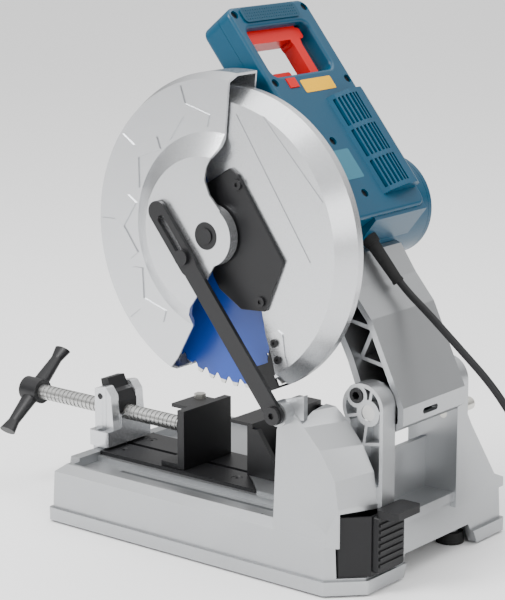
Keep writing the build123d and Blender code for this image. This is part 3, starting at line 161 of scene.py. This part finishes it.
MATERIALS = {
    "cast_grey": surface("cast_grey", (0.42, 0.43, 0.44), 0.32, 0.88, grain=1400, bump=0.10),
    "guard_silver": surface("guard_silver", (0.58, 0.59, 0.605), 0.27, 0.88, grain=2200, bump=0.03,
                            patchy=0.02),
    "petrol": surface("petrol", (0.0003, 0.050, 0.098), 0.36, grain=1600, bump=0.07, patchy=0.05,
                      shine=0.35),
    "grip_petrol": surface("grip_petrol", (0.0005, 0.042, 0.078), 0.55, grain=1600, patchy=0.05,
                           shine=0.3),
    "black_plastic": surface("black_plastic", (0.009, 0.009, 0.010), 0.45, grain=1500, bump=0.12,
                             shine=0.28),
    "red_plastic": surface("red_plastic", (0.52, 0.002, 0.002), 0.36, grain=1500, bump=0.04,
                           shine=0.25),
    "black_steel": surface("black_steel", (0.008, 0.008, 0.009), 0.38, grain=1700, bump=0.10,
                           shine=0.35),
    "zinc": surface("zinc", (0.66, 0.65, 0.60), 0.3, 0.95, grain=1200, bump=0.05),
    "steel": surface("steel", (0.50, 0.50, 0.49), 0.3, 0.95, grain=1100),
    "blade_blue": blade_material(),
    "rubber": surface("rubber", (0.012, 0.012, 0.012), 0.7, grain=1200, bump=0.12, shine=0.25),
    "copper": surface("copper", (0.6, 0.32, 0.16), 0.35, 0.9, bump=0.1),
    "cord_black": surface("cord_black", (0.010, 0.010, 0.011), 0.5, grain=1600, shine=0.3),
    "label_yellow": surface("label_yellow", (0.80, 0.42, 0.0), 0.45, grain=600, bump=0.0,
                            shine=0.15),
    "label_pale": surface("label_pale", (0.03, 0.14, 0.20), 0.4, grain=600, bump=0.0, shine=0.3),
}

slot_of = {part["node"]: part["material_slot"] for part in frame["record"]["subparts"]}
NO_BEVEL = {"drive_gear", "armature_shaft", "cord_upper", "cord_lower", "cord_coil", "saw_blade",
            "vise_screw"}
THIN_PIECE = 0.012
THIN_EDGE, EDGE = 0.0007, 0.0011
SHARP_ANGLE = math.radians(32)
for name, piece in frame["nodes"].items():
    piece.data.materials.clear()
    piece.data.materials.append(MATERIALS[slot_of[name]])
    if name in NO_BEVEL:
        continue
    bevel = piece.modifiers.new("edges", "BEVEL")
    bevel.width = THIN_EDGE if min(piece.dimensions) < THIN_PIECE else EDGE
    bevel.segments = 2
    bevel.limit_method = "ANGLE"
    bevel.angle_limit = SHARP_ANGLE
    bevel.use_clamp_overlap = True
    bevel.harden_normals = True


# Cord -----------------------------------------------------------------------------
CORD_R = 0.00385
COIL_R = 0.042
COIL_PITCH = 2 * CORD_R + 0.0005
COIL_TURNS = 7
POINTS_PER_TURN = 16
coil_centre = Vector((-0.150, 0.338, 0))
route = [
    Vector((0.0143, 0.1386, 0.3263)), Vector((0.008, 0.1643, 0.2921)), Vector((0.002, 0.197, 0.264)),
    Vector((-0.004, 0.2289, 0.2335)), Vector((-0.010, 0.2639, 0.2009)), Vector((-0.016, 0.291, 0.163)),
    Vector((-0.026, 0.317, 0.118)), Vector((-0.040, 0.343, 0.072)), Vector((-0.058, 0.365, 0.033)),
    Vector((-0.084, 0.377, 0.0095)), Vector((-0.107, 0.3806, 0.0042)),
    Vector((-0.128, 0.3806, CORD_R + 0.00005)),
]
plug_tail = Vector((coil_centre.x + 0.008, coil_centre.y + COIL_R, COIL_TURNS * COIL_PITCH + 0.0131))
for step in range(1, COIL_TURNS * POINTS_PER_TURN - 1):
    turned = step / POINTS_PER_TURN
    angle = math.pi / 2 + 2 * math.pi * turned
    height = CORD_R + 0.0001 + COIL_PITCH * min(turned, COIL_TURNS - 1)
    climb = max(0.0, turned - (COIL_TURNS - 1))
    height += (plug_tail.z - CORD_R - COIL_PITCH * (COIL_TURNS - 1)) * climb ** 1.5
    across = Vector((COIL_R * math.cos(angle), COIL_R * math.sin(angle), min(height, plug_tail.z)))
    route.append(coil_centre + across)
route.append(plug_tail)

curve = bpy.data.curves.new("supply_cord", "CURVE")
curve.dimensions = "3D"
spline = curve.splines.new("NURBS")
spline.points.add(len(route) - 1)
for point, place in zip(spline.points, route):
    point.co = (*place, 1)
spline.order_u = 3
spline.use_endpoint_u = True
curve.resolution_u = 6
cord = bpy.data.objects.new("supply_cord", curve)
scene.collection.objects.link(cord)
line = bpy.data.meshes.new_from_object(cord)
curve.bevel_depth = CORD_R
curve.bevel_resolution = 4
curve.use_fill_caps = True
tube = bpy.data.objects.new("supply_cord_tube", bpy.data.meshes.new_from_object(cord))
scene.collection.objects.link(tube)
bpy.data.objects.remove(cord)
tube.data.materials.clear()
tube.data.materials.append(MATERIALS["cord_black"])
for polygon in tube.data.polygons:
    polygon.use_smooth = True
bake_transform(tube)
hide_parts("cord_upper", "cord_lower", "cord_coil")


# Room -----------------------------------------------------------------------------
def pale(name, colour, roughness):
    material, _, shader = new_material(name)
    shader.inputs["Base Color"].default_value = (*colour, 1)
    shader.inputs["Roughness"].default_value = roughness
    return material


FLOOR_SIZE = 40
FLOOR_DROP = 0.0005
bpy.ops.mesh.primitive_plane_add(size=FLOOR_SIZE, location=(0, 0, -FLOOR_DROP))
floor = bpy.context.object
floor.name = "floor"
floor.data.materials.append(pale("floor", (0.93, 0.93, 0.93), 0.8))

HORIZON, OVERHEAD = 0.2, 1.7
world = bpy.data.worlds.new("studio")
world.use_nodes = True
# brighter overhead than at the horizon, so that metal shows its shape
background = world.node_tree.nodes["Background"]
background.inputs["Color"].default_value = (1, 1, 1, 1)
sky = node(world.node_tree, "ShaderNodeSeparateXYZ")
direction = node(world.node_tree, "ShaderNodeTexCoord").outputs["Generated"]
world.node_tree.links.new(direction, sky.inputs["Vector"])
height_map = node(world.node_tree, "ShaderNodeMapRange",
                  {"From Min": 0.0, "From Max": 0.9, "To Min": HORIZON, "To Max": OVERHEAD})
world.node_tree.links.new(sky.outputs["Z"], height_map.inputs["Value"])
world.node_tree.links.new(height_map.outputs["Result"], background.inputs["Strength"])
scene.world = world


def softbox(name, place, target, size, power):
    data = bpy.data.lights.new(name, "AREA")
    data.shape = "RECTANGLE"
    data.size, data.size_y = size
    data.energy = power
    light = bpy.data.objects.new(name, data)
    light.location = place
    light.rotation_euler = (Vector(target) - Vector(place)).to_track_quat("-Z", "Y").to_euler()
    scene.collection.objects.link(light)


AIM = (0, 0, 0.25)
softbox("key", (1.6, -0.6, 1.9), AIM, (1.0, 1.0), 70)
softbox("fill", (0.6, 2.4, 1.0), AIM, (1.6, 1.2), 20)
softbox("top", (-0.6, 0.2, 2.4), AIM, (1.8, 1.8), 30)
